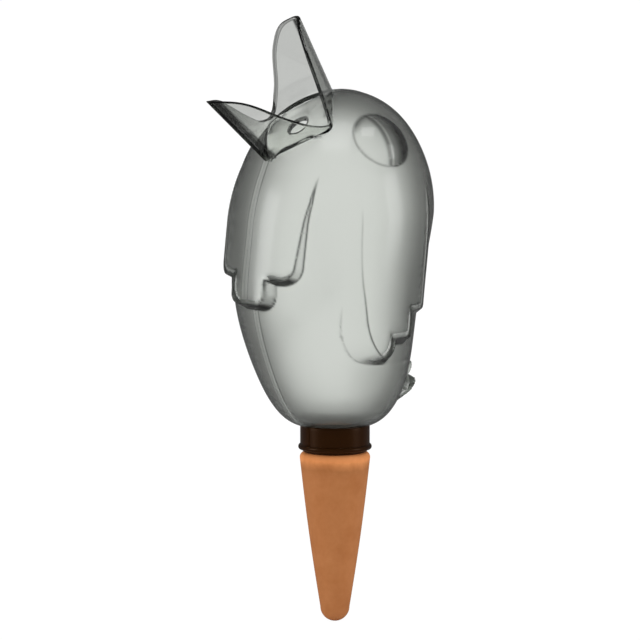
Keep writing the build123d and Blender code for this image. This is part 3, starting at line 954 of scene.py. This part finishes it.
# The two halves, cut from the whole bird, with the faces of the weld marked as joined
seam_gap = 0.01 * mm
for name, side in (("left_shell", 1), ("right_shell", -1)):
    bpy.ops.object.select_all(action="DESELECT")
    bird.select_set(True)
    bpy.context.view_layer.objects.active = bird
    bpy.ops.object.duplicate()
    shell = bpy.context.object
    shell.name = f"{name}_moulded"
    bpy.ops.object.mode_set(mode="EDIT")
    bpy.ops.mesh.select_all(action="SELECT")
    cut = {"plane_co": (side * seam_gap, 0, 0), "plane_no": (-side, 0, 0), "threshold": 0.001 * mm}
    bpy.ops.mesh.bisect(**cut, use_fill=True, clear_outer=True)
    bpy.ops.object.mode_set(mode="OBJECT")
    joined = [
        float(abs(polygon.normal.x) > 0.99 and abs(polygon.center.x) < 2 * seam_gap)
        for polygon in shell.data.polygons
    ]
    shell.data.attributes.new("weld", "FLOAT", "FACE").data.foreach_set("value", joined)
    shell.data.materials.clear()
    shell.data.materials.append(smoke)
    bpy.ops.object.shade_smooth_by_angle(angle=radians(38))
    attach(shell, "bird")
    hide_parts(name)
bpy.data.objects.remove(bird)

# Stage: a plain white floor under the cone's tip, soft lights from the front left, the
# right and above, and a long lens at the photograph's angle.
floor_size = 12.0
floor_gap = 0.2 * mm
floor_glow_share = 0.93
bpy.ops.object.select_all(action="DESELECT")
bpy.ops.mesh.primitive_plane_add(size=floor_size, location=(0, 0, -cone_length - floor_gap))
floor = bpy.context.object
floor.name = "floor"
floor_white, floor_surface = new_material("floor_white")
floor_surface.inputs["Base Color"].default_value = (0.9, 0.9, 0.9, 1)
floor_surface.inputs["Roughness"].default_value = 0.9
floor_glow = add_node(floor_white, "ShaderNodeEmission")
floor_mix = add_node(floor_white, "ShaderNodeMixShader")
floor_path = add_node(floor_white, "ShaderNodeLightPath")
floor_seen = add_node(floor_white, "ShaderNodeMath", operation="MAXIMUM")
floor_mirrored = add_node(floor_white, "ShaderNodeMath", operation="SUBTRACT")
floor_level = add_node(floor_white, "ShaderNodeMapRange", To_Min=1.05, To_Max=0.1)
floor_share = add_node(floor_white, "ShaderNodeMath", operation="MULTIPLY")
floor_share.inputs[1].default_value = floor_glow_share
link(floor_white, floor_path, "Is Camera Ray", floor_seen, 0)
link(floor_white, floor_path, "Is Glossy Ray", floor_seen, 1)
link(floor_white, floor_path, "Is Glossy Ray", floor_mirrored, 0)
link(floor_white, floor_path, "Is Transmission Ray", floor_mirrored, 1)
link(floor_white, floor_mirrored, 0, floor_level, "Value")
link(floor_white, floor_level, "Result", floor_glow, "Strength")
link(floor_white, floor_seen, 0, floor_share, 0)
link(floor_white, floor_share, 0, floor_mix, 0)
link(floor_white, floor_surface, 0, floor_mix, 1)
link(floor_white, floor_glow, 0, floor_mix, 2)
link(floor_white, floor_mix, 0, floor_white.node_tree.nodes["Material Output"], "Surface")
floor.data.materials.append(floor_white)

world = bpy.data.worlds.new("studio")
bpy.context.scene.world = world
world.use_nodes = True
studio = world.node_tree.nodes["Background"]
studio.inputs["Color"].default_value = (1, 1, 1, 1)
world_path = add_node(world, "ShaderNodeLightPath")
world_seen = add_node(world, "ShaderNodeMath", operation="MAXIMUM")
world_dim = add_node(world, "ShaderNodeMapRange", To_Min=0.65, To_Max=0.1)
world_level = add_node(world, "ShaderNodeMapRange", To_Max=1.0)
link(world, world_path, "Is Camera Ray", world_seen, 0)
link(world, world_path, "Is Transmission Ray", world_seen, 1)
link(world, world_path, "Is Glossy Ray", world_dim, "Value")
link(world, world_dim, "Result", world_level, "To Min")
link(world, world_seen, 0, world_level, "Value")
link(world, world_level, "Result", studio, "Strength")


def view_from(azimuth, elevation):
    """The direction from the object to a viewer, for angles in degrees."""
    a, e = radians(azimuth), radians(elevation)
    return Vector((sin(a) * cos(e), -cos(a) * cos(e), sin(e)))


def soft_light(name, azimuth, elevation, distance, width, height, power):
    """A soft box that faces the middle of the object."""
    bpy.ops.object.select_all(action="DESELECT")
    bpy.ops.object.light_add(type="AREA", location=view_from(azimuth, elevation) * distance)
    lamp = bpy.context.object
    lamp.name = name
    lamp.data.shape = "RECTANGLE"
    lamp.data.size = width
    lamp.data.size_y = height
    lamp.data.energy = power
    lamp.rotation_euler = (-lamp.location).to_track_quat("-Z", "Y").to_euler()


soft_light("left_light", azimuth=-24, elevation=8, distance=1.2, width=0.4, height=0.9, power=3.2)
soft_light("right_light", azimuth=124, elevation=8, distance=1.2, width=0.4, height=0.9, power=2.6)
soft_light("top_light", azimuth=50, elevation=75, distance=1.2, width=0.6, height=0.6, power=2.4)

photo_azimuth, photo_elevation = 50, 7
photo_pixels = 640
pixel_size = 0.45 * mm
photo_width = photo_pixels * pixel_size
axis_right_of_middle = 15 * pixel_size
middle_height = 59.6 * mm
camera_distance = 3.0
sensor_width = 36.0
look = view_from(photo_azimuth, photo_elevation)
right = Vector((cos(radians(photo_azimuth)), sin(radians(photo_azimuth)), 0))
target = -right * axis_right_of_middle + Vector((0, 0, middle_height))
bpy.ops.object.camera_add(location=target + look * camera_distance)
camera = bpy.context.object
camera.data.sensor_width = sensor_width
camera.data.lens = sensor_width * camera_distance / photo_width
camera.rotation_euler = (-look).to_track_quat("-Z", "Y").to_euler()
bpy.context.scene.camera = camera
bpy.context.scene.view_settings.view_transform = "Standard"
